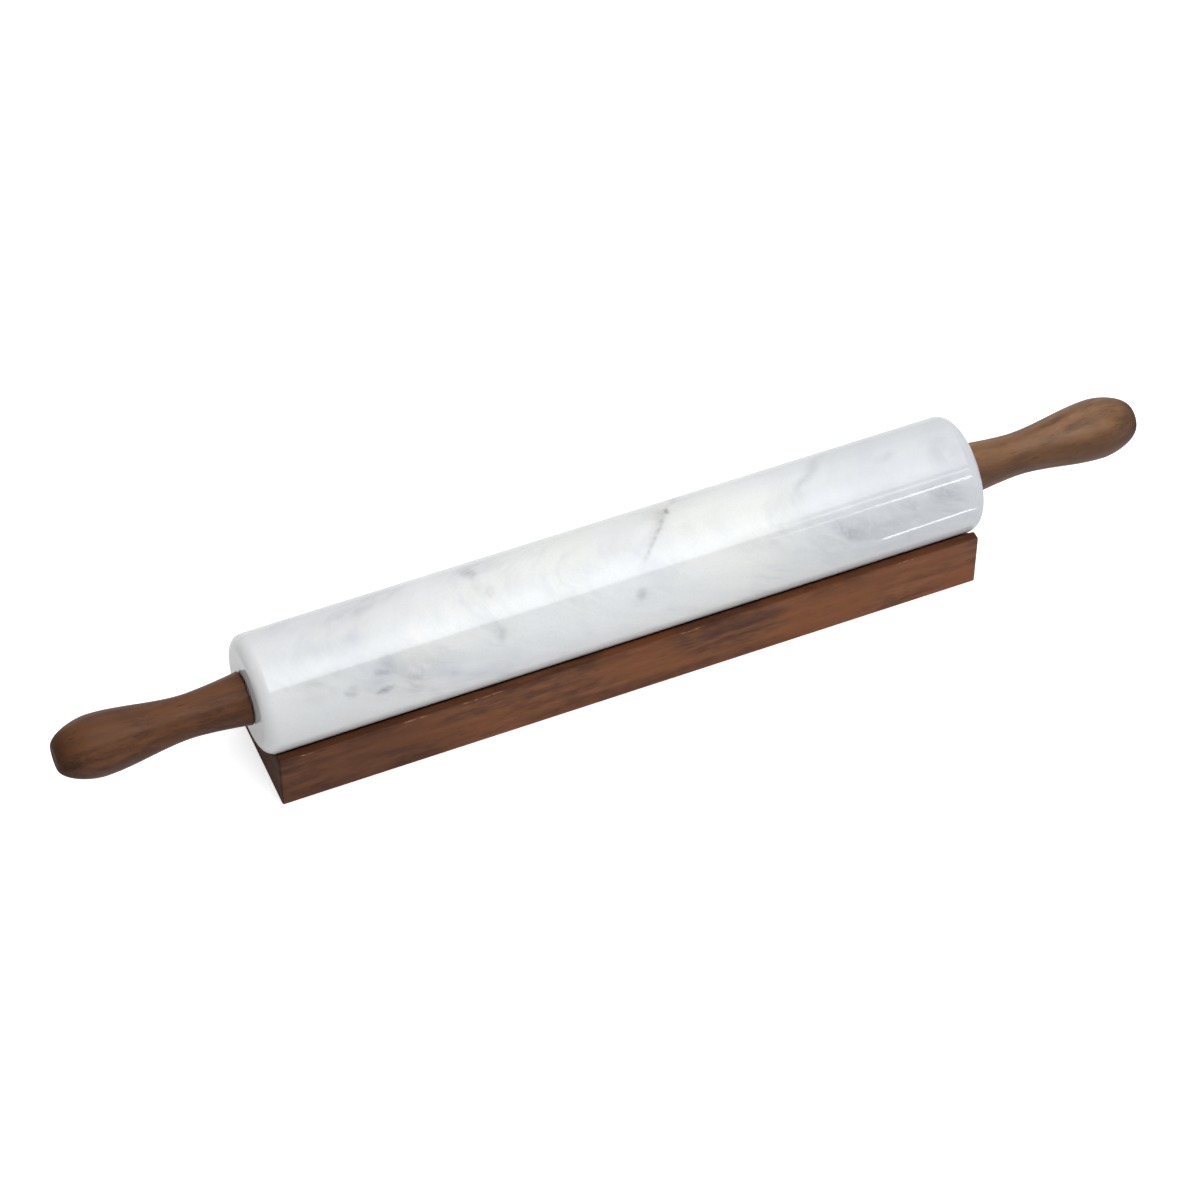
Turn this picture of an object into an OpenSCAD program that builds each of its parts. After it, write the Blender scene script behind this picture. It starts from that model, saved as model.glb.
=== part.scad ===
// Marble rolling pin with turned wooden handles, lying in a wooden cradle.
// X runs along the pin, Z is up, and the origin is under the middle of the cradle.

/* [Barrel] */
// Length of the marble barrel
barrel_len = 305; // [200:1:400]
// Diameter of the marble barrel
barrel_d = 48.5; // [44:0.5:70]
// Radius of the rounding at each end of the barrel
barrel_edge_r = 5.5; // [2:0.5:8]
// Diameter of the hole drilled through the barrel
barrel_bore_d = 14; // [12:0.5:17]

/* [Handles] */
// Length of each turned handle
handle_len = 76.5; // [65:0.5:110]
// Diameter of the flat inner end, beside the marble
face_d = 21.6; // [19:0.2:26]
// Rounding of the rim of that inner end
face_edge_r = 0.6; // [0.3:0.1:1.2]
// Diameter of the narrow neck
neck_d = 17.2; // [15:0.2:19]
// Distance from the inner end to the neck
neck_at = 23; // [14:0.5:30]
// Diameter of the fullest part of the grip
grip_d = 24.8; // [21:0.2:30]
// Distance from the fullest part of the grip to the outer tip
nose_len = 16.5; // [12:0.5:25]
// Diameter of the small flat that the lathe leaves at the tip
tip_d = 9.5; // [4:0.5:12]
// Fullness of the rounded nose, where 2 is a plain ellipse
nose_fullness = 1.7; // [1.5:0.1:2.6]

/* [Rod and bearings] */
// Diameter of the steel rod
rod_d = 8; // [6:0.5:9]
// Depth of the thread cut into each end of the rod
thread_depth = 0.4; // [0.2:0.1:0.6]
// Length of each bush inside the barrel bore
bush_len = 22; // [12:1:40]
// Reach of the bush flange beyond the barrel bore
flange_lip = 1.75; // [1:0.25:2.5]
// Thickness of the bush flange
flange_t = 1.5; // [1:0.1:2]
// Depth of the flange's outer side below the end of the barrel
flange_sink = 0.5; // [0.2:0.05:0.5]
// Outer diameter of each thrust washer
washer_d = 15.5; // [13:0.5:16]
// Thickness of each thrust washer
washer_t = 0.8; // [0.6:0.1:1.5]
// Length of the brass insert in each handle
insert_len = 15; // [10:0.5:20]
// Wall of the brass insert, over its ribs
insert_wall = 1.8; // [1.2:0.1:2.4]
// Number of holding ribs round each insert
rib_count = 4; // [2:1:6]
// Height of each holding rib
rib_h = 0.5; // [0.2:0.1:0.6]
// Length of rod that reaches past the insert
rod_past = 2; // [1:0.5:5]
// Chamfer at each end of the rod
rod_chamfer = 0.8; // [0.4:0.1:1.2]

/* [Cradle] */
// Distance that the barrel stands out beyond each end of the cradle
cradle_inset = 3.5; // [1:0.5:30]
// Wood under the middle of the trough
cradle_floor = 14.4; // [8:0.1:25]
// Depth of the trough
trough_depth = 11.1; // [6:0.1:18]
// Width of the flat land on each side of the trough
land_w = 4; // [3:0.1:12]
// Difference between the radius of the trough and that of the barrel
trough_ease = 1; // [0.4:0.05:3]
// Rounding of the outside edges of the cradle
cradle_edge_r = 0.8; // [0.4:0.1:2]
// Rounding of the edges of the trough
trough_edge_r = 0.7; // [0.3:0.1:0.9]

/* [Fits] */
// Running clearance of the rod in its bushes, on the radius
run_fit = 0.08; // [0.04:0.01:0.1]
// Clearance round a seated piece, on the radius
seat_fit = 0.05; // [0.03:0.01:0.1]
// Clearance of the washers on the rod, on the radius
washer_fit = 0.2; // [0.1:0.05:0.4]
// Clearance round the bush flange in its recess, on the radius
recess_fit = 0.5; // [0.3:0.1:0.8]
// Gap between each washer and the bush flange
end_play = 0.15; // [0.1:0.05:0.4]
// Gap between the barrel and the bottom of the trough
rest_gap = 0.3; // [0.2:0.05:0.6]

/* [Hidden] */
$fn = 96;

marble_white = [0.93, 0.92, 0.90];
cradle_brown = [0.42, 0.27, 0.20];
handle_brown = [0.47, 0.31, 0.22];
rod_steel = [0.72, 0.73, 0.75];
insert_brass = [0.80, 0.64, 0.30];
bush_nylon = [0.93, 0.93, 0.88];

barrel_r = barrel_d / 2;
bore_r = barrel_bore_d / 2;
rod_r = rod_d / 2;
thread_r = rod_r - thread_depth;
flange_r = bore_r + flange_lip;
insert_bore_r = thread_r + seat_fit;
insert_r = insert_bore_r + insert_wall;

// Steps of each curved stretch of a handle's outline
curve_steps = 20;
// Overlap of a cutting shape beyond the solid that it cuts
cut = 1;

// Places along the pin, from the middle of the barrel
barrel_end = barrel_len / 2;
flange_face = barrel_end - flange_sink;
flange_back = flange_face - flange_t;
washer_back = flange_face + end_play;
handle_start = washer_back + washer_t;
rod_end = insert_len + rod_past;
grip_at = handle_len - nose_len;

// Heights above the table
axis_z = cradle_floor + rest_gap + barrel_r;
cradle_h = cradle_floor + trough_depth;
trough_r = barrel_r + trough_ease;
trough_z = cradle_floor + trough_r;

// Width of the cradle, from the width of its trough at the lands
trough_half_w = sqrt(pow(trough_r, 2) - pow(trough_r - trough_depth, 2));
cradle_w = 2 * (trough_half_w + land_w);
cradle_len = barrel_len - 2 * cradle_inset;

// Three stretches of a handle's outline, as [radius, distance] for t from 0 to 1
function blend(a, b, t) = a + (b - a) * t;
function flare_point(t) = [blend(face_d, neck_d, 1 - pow(1 - t, 1.5)) / 2, neck_at * t];
function swell_point(t) = [
    blend(neck_d, grip_d, 3 * pow(t, 2) - 2 * pow(t, 3)) / 2,
    blend(neck_at, grip_at, t)];
function nose_point(t) = [
    blend(tip_d, grip_d, pow(cos(90 * t), 2 / nose_fullness)) / 2,
    grip_at + nose_len * pow(sin(90 * t), 2 / nose_fullness)];

// Outline of a handle from the rim of its inner end to its tip
function handle_outline() = concat(
    [for (i = [1 : curve_steps]) if (flare_point(i / curve_steps)[1] > face_edge_r)
        flare_point(i / curve_steps)],
    [for (i = [1 : curve_steps]) swell_point(i / curve_steps)],
    [for (i = [1 : curve_steps]) nose_point(i / curve_steps)]);

// Quarter round that takes the corner off a profile, whose corner is at the origin
module corner_cut(r) {
    translate([-r, -r]) difference() {
        square(r + cut);
        circle(r);
    }
}

// Rectangle with all four corners rounded, centred on the origin
module rounded_rect(w, h, r) {
    difference() {
        square([w, h], center = true);
        for (sx = [0, 1], sy = [0, 1])
            mirror([sx, 0]) mirror([0, sy]) translate([w / 2, h / 2]) corner_cut(r);
    }
}

// Turns a profile of [radius, distance] round the axis of the pin
module lathe() {
    translate([0, 0, axis_z]) rotate([0, 90, 0]) rotate_extrude() children();
}

// The same piece at the left end of the pin
module at_left() {
    mirror([1, 0, 0]) children();
}

// Marble barrel with its bore and the two recesses for the bush flanges
module barrel() {
    color(marble_white) lathe() difference() {
        translate([bore_r, -barrel_end]) square([barrel_r - bore_r, barrel_len]);
        for (side = [0, 1]) mirror([0, side]) {
            translate([barrel_r, barrel_end]) corner_cut(barrel_edge_r);
            translate([0, flange_back]) square([flange_r + recess_fit, flange_sink + flange_t + cut]);
        }
    }
}

// Steel rod with a reduced, threaded stretch and a chamfer at each end
module axle_rod() {
    thread_end = handle_start + rod_end;
    tip_r = thread_r - rod_chamfer;
    color(rod_steel) lathe() polygon([
        [0, -thread_end], [tip_r, -thread_end], [thread_r, rod_chamfer - thread_end],
        [thread_r, -handle_start], [rod_r, -handle_start],
        [rod_r, handle_start], [thread_r, handle_start],
        [thread_r, thread_end - rod_chamfer], [tip_r, thread_end], [0, thread_end]]);
}

// Flanged nylon bush that carries the barrel on the rod
module bush() {
    color(bush_nylon) lathe() difference() {
        union() {
            translate([0, flange_face - bush_len]) square([bore_r - seat_fit, bush_len]);
            translate([0, flange_back]) square([flange_r, flange_t]);
        }
        translate([0, flange_face - bush_len - cut]) square([rod_r + run_fit, bush_len + 2 * cut]);
    }
}

// Steel washer between the turning bush and the handle
module thrust_washer() {
    bore = rod_r + washer_fit;
    color(rod_steel) lathe() translate([bore, washer_back]) square([washer_d / 2 - bore, washer_t]);
}

// Ribbed brass insert that is set into the handle and takes the threaded end of the rod
module insert() {
    root_r = insert_r - rib_h;
    pitch = insert_len / rib_count;
    color(insert_brass) lathe() translate([0, handle_start]) {
        translate([insert_bore_r, 0]) square([root_r - insert_bore_r, insert_len]);
        for (i = [0 : rib_count - 1]) translate([root_r, i * pitch])
            polygon([[-rib_h, 0], [rib_h, 0], [rib_h, pitch * 0.4], [0, pitch * 0.8], [-rib_h, pitch * 0.8]]);
    }
}

// Turned handle: flared inner end, slim neck, full grip and a rounded nose with a small flat tip
module handle() {
    color(handle_brown) lathe() translate([0, handle_start]) difference() {
        union() {
            polygon(concat([[0, face_edge_r], [face_d / 2, face_edge_r]], handle_outline(), [[0, handle_len]]));
            square([face_d / 2 - face_edge_r, 2 * face_edge_r]);
            translate([face_d / 2 - face_edge_r, face_edge_r]) circle(face_edge_r);
        }
        translate([0, -cut]) square([insert_r + seat_fit, insert_len + cut]);
        square([thread_r + washer_fit, rod_end + washer_fit]);
    }
}

// Small wedges that round over the two long edges of the trough
module trough_edge_cuts() {
    r = trough_edge_r;
    round_z = cradle_h - r;
    round_y = sqrt(pow(trough_r + r, 2) - pow(trough_z - round_z, 2));
    inside = (trough_r - r) / (trough_r + r);
    difference() {
        polygon([
            [round_y, round_z], [round_y, cradle_h + cut], [round_y * inside, cradle_h + cut],
            [round_y * inside, blend(trough_z, round_z, inside)]]);
        translate([round_y, round_z]) circle(r);
    }
}

// Section across the cradle, as [width, height]
module cradle_section() {
    difference() {
        translate([0, cradle_h / 2]) rounded_rect(cradle_w, cradle_h, cradle_edge_r);
        translate([0, trough_z]) circle(trough_r);
        for (side = [0, 1]) mirror([side, 0]) trough_edge_cuts();
    }
}

// Rings that round over the trough where it opens at both ends of the cradle
module trough_mouth_cuts() {
    r = trough_edge_r;
    translate([0, 0, trough_z]) rotate([0, 90, 0]) rotate_extrude()
        for (side = [0, 1]) mirror([0, side]) translate([trough_r, cradle_len / 2]) difference() {
            translate([-cut, -r]) square([r + cut, r + cut]);
            translate([r, -r]) circle(r);
        }
}

// Wooden cradle: a block with a trough from end to end and every outside edge rounded
module cradle() {
    color(cradle_brown) difference() {
        intersection() {
            rotate([90, 0, 90]) translate([0, 0, -cradle_len / 2])
                linear_extrude(cradle_len) cradle_section();
            linear_extrude(cradle_h) rounded_rect(cradle_len, cradle_w, cradle_edge_r);
            rotate([90, 0, 0]) translate([0, cradle_h / 2, -cradle_w / 2])
                linear_extrude(cradle_w) rounded_rect(cradle_len, cradle_h, cradle_edge_r);
        }
        trough_mouth_cuts();
    }
}

module right_bush() { bush(); }
module left_bush() { at_left() bush(); }
module right_thrust_washer() { thrust_washer(); }
module left_thrust_washer() { at_left() thrust_washer(); }
module right_insert() { insert(); }
module left_insert() { at_left() insert(); }
module right_handle() { handle(); }
module left_handle() { at_left() handle(); }

cradle();
barrel();
axle_rod();
left_bush();
right_bush();
left_thrust_washer();
right_thrust_washer();
left_insert();
right_insert();
left_handle();
right_handle();
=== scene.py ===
"""Looks of a marble rolling pin that lies in its wooden cradle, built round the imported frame.

Lengths are in metres and angles in degrees, unless a name says otherwise. X runs along the pin, Y points
away from the viewer and Z is up. The turned pieces follow the same outlines as the frame.
"""
import logging
import math
from collections.abc import Sequence
from dataclasses import dataclass
from enum import Enum

import bpy
from mathutils import Matrix, Vector


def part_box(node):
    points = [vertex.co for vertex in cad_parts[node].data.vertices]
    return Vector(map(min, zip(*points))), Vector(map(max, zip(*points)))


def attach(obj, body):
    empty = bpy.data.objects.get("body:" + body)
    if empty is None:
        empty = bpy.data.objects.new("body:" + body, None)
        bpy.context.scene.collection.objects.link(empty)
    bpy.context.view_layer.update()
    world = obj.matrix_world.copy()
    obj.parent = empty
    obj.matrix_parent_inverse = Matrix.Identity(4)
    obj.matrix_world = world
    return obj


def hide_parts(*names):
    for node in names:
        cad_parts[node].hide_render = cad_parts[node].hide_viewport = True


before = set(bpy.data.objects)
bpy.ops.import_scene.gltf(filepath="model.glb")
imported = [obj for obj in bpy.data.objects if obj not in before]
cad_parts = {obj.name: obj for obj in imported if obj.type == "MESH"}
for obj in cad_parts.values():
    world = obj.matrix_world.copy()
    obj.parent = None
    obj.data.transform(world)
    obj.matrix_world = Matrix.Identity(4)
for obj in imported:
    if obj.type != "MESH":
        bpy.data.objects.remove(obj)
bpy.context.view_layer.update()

LOG = logging.getLogger("rolling_pin")
MM = 0.001
WELD_DISTANCE = 0.001 * MM
CREASE_ANGLE = 35.0
# Noise at which a finish is at its smoothest and at its dullest.
GRAIN_LEVELS = (0.3, 0.7)

Colour = tuple[float, float, float]
Point = tuple[float, float]
Range = tuple[float, float]
Fade = tuple[float, float, float, float]
Feed = float | Sequence[float] | bpy.types.NodeSocket

WHITE: Colour = (1.0, 1.0, 1.0)
DAYLIGHT: Colour = (0.955, 1.0, 1.045)


class Side(Enum):
    """An end of the pin, as the sign of X there."""

    LEFT = -1
    RIGHT = 1

    @property
    def label(self) -> str:
        """The word that node names use for this end."""
        return self.name.lower()


def srgb(red: int, green: int, blue: int) -> Colour:
    """Turns a colour as a screen shows it into the linear colour that shaders take.

    Args:
        red: Red from 0 to 255.
        green: Green from 0 to 255.
        blue: Blue from 0 to 255.

    Returns:
        The linear colour.
    """
    def linear(level: int) -> float:
        share = level / 255
        return share / 12.92 if share <= 0.04045 else ((share + 0.055) / 1.055) ** 2.4
    return linear(red), linear(green), linear(blue)


def blend(start: float, end: float, share: float) -> float:
    """Gives the value that lies a share of the way from start to end."""
    return start + (end - start) * share


def turned_over(outline: Sequence[Point]) -> list[Point]:
    """Mirrors an outline to the other side of its middle, and runs through it backwards."""
    return [(-first, second) for first, second in reversed(outline)]


def placed(name: str, data: bpy.types.ID) -> bpy.types.Object:
    """Adds an object to the scene.

    Args:
        name: The object's name.
        data: Its mesh, lamp or camera.

    Returns:
        The object.
    """
    made = bpy.data.objects.new(name, data)
    bpy.context.scene.collection.objects.link(made)
    return made


def aimed(place: Vector, right: Vector, back: Vector) -> Matrix:
    """Places a lamp or a camera, given its right side and the direction of its back."""
    return Matrix.Translation(place) @ Matrix((right, back.cross(right), back)).transposed().to_4x4()


def emptied(owner: bpy.types.Material | bpy.types.World) -> bpy.types.NodeTree:
    """Gives a material or a world an empty node tree.

    Args:
        owner: The material or the world.

    Returns:
        Its node tree.
    """
    owner.use_nodes = True
    owner.node_tree.nodes.clear()
    return owner.node_tree


class Graph:
    """Builds one node tree, a node or a link at a time.

    Attributes:
        COLOUR_MIX_INPUTS: Places of the share and of the two colours on a Mix node.
        COLOUR_MIX_OUTPUT: Place of the mixed colour.
    """

    COLOUR_MIX_INPUTS = (0, 6, 7)
    COLOUR_MIX_OUTPUT = 2

    def __init__(self, tree: bpy.types.NodeTree) -> None:
        """Keeps the tree to build in."""
        self.tree = tree

    def feed(self, socket: bpy.types.NodeSocket, value: Feed) -> None:
        """Links a socket to an input, or sets the input to a number or a colour.

        Args:
            socket: The input socket.
            value: The output socket to link, or the value to set.
        """
        if isinstance(value, bpy.types.NodeSocket):
            self.tree.links.new(value, socket)
        elif socket.type == "RGBA":
            socket.default_value = (*value, 1.0)
        else:
            socket.default_value = value

    def node(self, kind: str, feeds: dict[str | int, Feed] | None = None, **settings) -> bpy.types.Node:
        """Adds a node.

        Args:
            kind: The node's type.
            feeds: Values and links for its inputs, by name or place.
            **settings: Its own properties.

        Returns:
            The new node.
        """
        made = self.tree.nodes.new(kind)
        for name, value in settings.items():
            setattr(made, name, value)
        for key, value in (feeds or {}).items():
            self.feed(made.inputs[key], value)
        return made

    def math(self, operation: str, first: Feed, second: Feed = 0.0,
             clamp: bool = False) -> bpy.types.NodeSocket:
        """Works an operation out on one or two values, and keeps the result between 0 and 1 if asked."""
        made = self.node("ShaderNodeMath", {0: first, 1: second}, operation=operation, use_clamp=clamp)
        return made.outputs[0]

    def times(self, first: Feed, second: Feed) -> bpy.types.NodeSocket:
        """Multiplies two values."""
        return self.math("MULTIPLY", first, second)

    def total(self, values: Sequence[Feed]) -> bpy.types.NodeSocket:
        """Adds up a list of values.

        Args:
            values: The values.

        Returns:
            Their sum.
        """
        result = self.math("ADD", values[0], 0.0)
        for value in values[1:]:
            result = self.math("ADD", result, value)
        return result

    def mixed(self, share: Feed, first: Feed, second: Feed, mode: str = "MIX") -> bpy.types.NodeSocket:
        """Mixes two colours.

        Args:
            share: Share of the second colour.
            first: The first colour.
            second: The second colour.
            mode: How they are mixed.

        Returns:
            The mixed colour.
        """
        made = self.node("ShaderNodeMix", data_type="RGBA", blend_type=mode)
        for place, value in zip(self.COLOUR_MIX_INPUTS, (share, first, second)):
            self.feed(made.inputs[place], value)
        return made.outputs[self.COLOUR_MIX_OUTPUT]


@dataclass(frozen=True)
class Pattern:
    """Noise whose strength is eased from start to end while it rises from low to high.

    Attributes:
        scale: Features per metre.
        detail: Number of finer layers.
        roughness: Strength of the finer layers.
        low: Noise at and below which the strength is start.
        high: Noise at and above which it is end.
        start: Strength in the low places.
        end: Strength in the high places.
        lengthwise: Factor on the number of features along X, below 1 where they are drawn out.
    """

    scale: float
    detail: float
    roughness: float
    low: float
    high: float
    start: float = 0.0
    end: float = 1.0
    lengthwise: float = 1.0


class Paint(Graph):
    """Node graph of one material, with its shader and its place on the piece."""

    def __init__(self, name: str) -> None:
        """Makes the material.

        Args:
            name: The material's name.
        """
        self.material = bpy.data.materials.new(name)
        super().__init__(emptied(self.material))
        coordinates = self.node("ShaderNodeTexCoord")
        self.place = coordinates.outputs["Object"]
        self.facing = coordinates.outputs["Normal"]
        self.shader = self.node("ShaderNodeBsdfPrincipled")
        self.node("ShaderNodeOutputMaterial", {"Surface": self.shader.outputs["BSDF"]})

    def surface(self, **sockets: Feed) -> None:
        """Sets or links the shader's own sockets, named with underscores for spaces."""
        for name, value in sockets.items():
            self.feed(self.shader.inputs[name.replace("_", " ")], value)

    def axes(self, vector: Feed) -> tuple[bpy.types.NodeSocket, ...]:
        """Splits a vector into its three numbers."""
        return tuple(self.node("ShaderNodeSeparateXYZ", {0: vector}).outputs)

    def stretched(self, vector: Feed, scale: Sequence[float],
                  shift: Sequence[float] = (0, 0, 0)) -> bpy.types.NodeSocket:
        """Scales a pattern's coordinates along each axis, and then shifts them."""
        feeds = {"Vector": vector, "Location": shift, "Scale": scale}
        return self.node("ShaderNodeMapping", feeds).outputs[0]

    def noise(self, vector: Feed, scale: float, detail: float = 2.0, roughness: float = 0.5,
              output: str = "Fac") -> bpy.types.NodeSocket:
        """Adds a noise with its features per metre and the number and strength of its finer layers."""
        feeds = {"Vector": vector, "Scale": scale, "Detail": detail, "Roughness": roughness}
        return self.node("ShaderNodeTexNoise", feeds).outputs[output]

    def between(self, value: Feed, low: float, high: float, start: float = 0.0,
                end: float = 1.0) -> bpy.types.NodeSocket:
        """Eases a value from start to end while it rises from low to high."""
        feeds = {"Value": value, "From Min": low, "From Max": high, "To Min": start, "To Max": end}
        return self.node("ShaderNodeMapRange", feeds, interpolation_type="SMOOTHSTEP").outputs[0]

    def patterned(self, vector: Feed, pattern: Pattern) -> bpy.types.NodeSocket:
        """Lays a pattern.

        Args:
            vector: Where it is read.
            pattern: The pattern.

        Returns:
            Its strength from place to place.
        """
        drawn = self.stretched(vector, (pattern.lengthwise, 1, 1)) if pattern.lengthwise != 1.0 else vector
        noise = self.noise(drawn, pattern.scale, pattern.detail, pattern.roughness)
        return self.between(noise, pattern.low, pattern.high, pattern.start, pattern.end)

    def shaken(self, vector: Feed, scale: float, reach: float) -> bpy.types.NodeSocket:
        """Moves coordinates about by a noise, so that a pattern wanders.

        Args:
            vector: The coordinates.
            scale: Bends per metre.
            reach: Furthest move.

        Returns:
            The moved coordinates.
        """
        colour = self.noise(vector, scale, detail=3.0, roughness=0.55, output="Color")
        centred = self.node("ShaderNodeVectorMath", {0: colour, 1: (0.5, 0.5, 0.5)}, operation="SUBTRACT")
        feeds = {0: centred.outputs[0], "Scale": 2 * reach}
        sized = self.node("ShaderNodeVectorMath", feeds, operation="SCALE")
        moved = self.node("ShaderNodeVectorMath", {0: vector, 1: sized.outputs[0]}, operation="ADD")
        return moved.outputs[0]

    def bumped(self, height: Feed, depth: float, strength: float) -> None:
        """Gives the shader a bump of a real depth, where height runs from 0 to 1."""
        bump = self.node("ShaderNodeBump", {"Height": height, "Distance": depth, "Strength": strength})
        self.feed(self.shader.inputs["Normal"], bump.outputs[0])


@dataclass(frozen=True)
class Mark:
    """A darker patch on the marble, laid out on the unrolled barrel: a grey mark, and in two broad cases
    partly painted shade.

    Attributes:
        along: Millimetres along the pin from its middle.
        turn: Degrees round the barrel, from the level front over the top.
        half_length: Half length in millimetres.
        half_width: Half width in millimetres.
        tilt: Degrees by which its length leaves the pin's direction.
        depth: Strength from 0 to 1.
    """

    along: float
    turn: float
    half_length: float
    half_width: float
    tilt: float
    depth: float


VEIN = (
    Mark(9.2, 62, 2.6, 1.3, 45, 0.15),
    Mark(11.1, 66.5, 1.4, 1.3, 30, 0.26),
    Mark(13.2, 72, 4.0, 1.4, 48, 0.22),
    Mark(15.3, 78, 1.8, 1.6, 30, 0.30),
    Mark(17.8, 83.5, 3.2, 1.5, 45, 0.21),
    Mark(20.3, 90, 3.8, 1.4, 50, 0.20),
    Mark(21.8, 94.5, 1.6, 1.3, 60, 0.10),
    Mark(23.3, 98.5, 2.2, 1.5, 50, 0.05),
    Mark(25.3, 102.5, 1.7, 1.7, 0, 0.44),
    Mark(25.5, 106, 1.2, 1.6, 0, 0.46),
    Mark(26.5, 111, 2.6, 1.2, 60, 0.08),
    Mark(23.0, 103, 6.5, 4.0, 50, 0.14),
    Mark(21.0, 107, 10, 6.5, 35, 0.13),
    Mark(18.0, 86, 12, 3.4, 48, 0.12),
    Mark(31.0, 122, 5.5, 2.4, 58, 0.20),
    Mark(32.5, 130, 5.0, 4.0, 60, 0.16))

# Grey marks in the stone; the two broad ones low on the barrel are partly painted shade.
GREY_MARKS_AND_SHADE = (
    Mark(3.6, 32, 3.8, 3.0, 60, 0.22),
    Mark(5, 29, 9, 5, 20, 0.08),
    Mark(-55, 36, 3.2, 5.0, 0, 0.16),
    Mark(-54, 77, 2.4, 5.0, -10, 0.16),
    Mark(-57, 92, 3.0, 6.0, -20, 0.14),
    Mark(-58, 106, 4.0, 5.5, 20, 0.17),
    Mark(-57, 112, 17, 8, 10, 0.15),
    Mark(-66, 95, 5, 2.5, 60, 0.10),
    Mark(-104.5, 17, 5.0, 2.2, 12, 0.38),
    Mark(-117, 25, 4.2, 3.4, 0, 0.30),
    Mark(-103, 36, 6.5, 5.0, 50, 0.18),
    Mark(-92, 12, 5, 7, 20, 0.15),
    Mark(-90, 22, 3, 3, 0, 0.12),
    Mark(-84, -8, 7, 3, -50, 0.14),
    Mark(-128, 45, 12, 3.6, 0, 0.16),
    Mark(-128, 33, 16, 5, 0, 0.08),
    # Broad darkening of the lower band at the left end: partly painted shade, partly grey stone.
    Mark(-92, 28, 26, 13, 0, 0.17),
    Mark(-118, 74, 18, 6.5, 0, 0.12),
    Mark(-113, 96, 16, 9, 0, 0.10),
    Mark(-50, 80, 18, 11, 0, 0.09),
    Mark(-52, 44, 18, 7, 0, 0.06),
    Mark(-28, 52, 14, 14, 0, 0.07),
    Mark(60, 46, 24, 5, 0, 0.10),
    Mark(-133, 118, 12, 5, 30, 0.08),
    Mark(-100, 110, 22, 8, 15, 0.16),
    Mark(-88, 118, 6, 6, 0, 0.10),
    Mark(89, 106, 19, 3.6, 48, 0.14),
    Mark(80, 87, 6, 2.4, 30, 0.09),
    Mark(71, 73, 17, 8, 20, 0.13),
    Mark(116, 86, 7, 3, 10, 0.17),
    Mark(139, 86, 5, 3, 10, 0.05),
    Mark(86, 36, 16, 5, -35, 0.12),
    Mark(92, 25, 8, 5, -30, 0.06),
    Mark(130, 30, 15, 9, 0, 0.28),
    Mark(92, 34, 44, 12, 0, 0.12),
    Mark(142, 62, 14, 26, 0, 0.12),
    # Broad darkening of the lower band at the right end: partly painted shade, partly grey stone.
    Mark(112, 10, 52, 15, 0, 0.13),
    Mark(-20, 200, 42, 2.4, 30, 0.34),
    Mark(62, 222, 28, 1.5, -32, 0.34),
    Mark(-95, 240, 20, 6, 35, 0.24),
    Mark(20, 262, 12, 5, 20, 0.24))


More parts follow.
